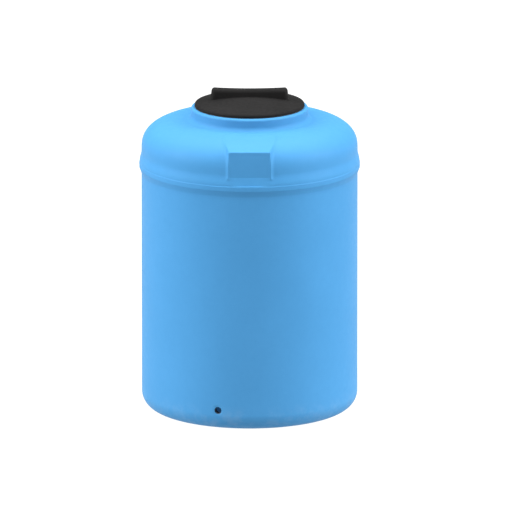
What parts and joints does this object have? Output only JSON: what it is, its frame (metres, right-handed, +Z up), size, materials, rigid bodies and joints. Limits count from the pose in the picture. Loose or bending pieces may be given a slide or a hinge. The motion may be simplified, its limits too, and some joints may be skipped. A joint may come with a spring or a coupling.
{
  "type": "livestock water tank",
  "caption": "Closed upright rotomoulded water tank for livestock, with a roll band, flat inlet pad on the shoulder, outlet bush near the base and a screw lid with a grip bar.",
  "frame": {"origin": "middle of the flat base, on the floor, on the tank's axis", "axes": "+Z up along the tank's axis; the front, with the flat inlet pad on the shoulder, looks along -Y; the outlet bush is 17 degrees from the front towards -X; +X is to the right of someone who faces the front"},
  "size_m": [0.807, 0.807, 1.198],
  "materials": {
    "tank_polyethylene": "satin",
    "lid_plastic": "satin",
    "vent_plastic": "satin",
    "seal_rubber": "matte",
    "insert_nylon": "satin",
    "screen_steel": "satin"
  },
  "bodies": {
    "tank": {"tank_shell": "tank_polyethylene", "outlet_insert": "insert_nylon"},
    "seal_ring": {"lid_gasket": "seal_rubber"},
    "screw_lid": {"lid": "lid_plastic", "breather_body": "vent_plastic", "breather_cap": "vent_plastic", "breather_nut": "vent_plastic", "breather_seal": "seal_rubber", "breather_screen": "screen_steel"}
  },
  "joints": [
    {"name": "lid_lift", "type": "slide", "parent": "tank", "child": "seal_ring", "axis": [0, 0, 1], "range_m": [0, 0.0481]},
    {"name": "lid_turn", "type": "hinge", "parent": "seal_ring", "child": "screw_lid", "pos_m": [0, 0, 1.128], "axis": [0, 0, 1], "range_deg": [0, 360]}
  ],
  "couplings": [
    {"joint": "lid_lift", "follows": "lid_turn", "m_per_rad": 0.0076394}
  ]
}
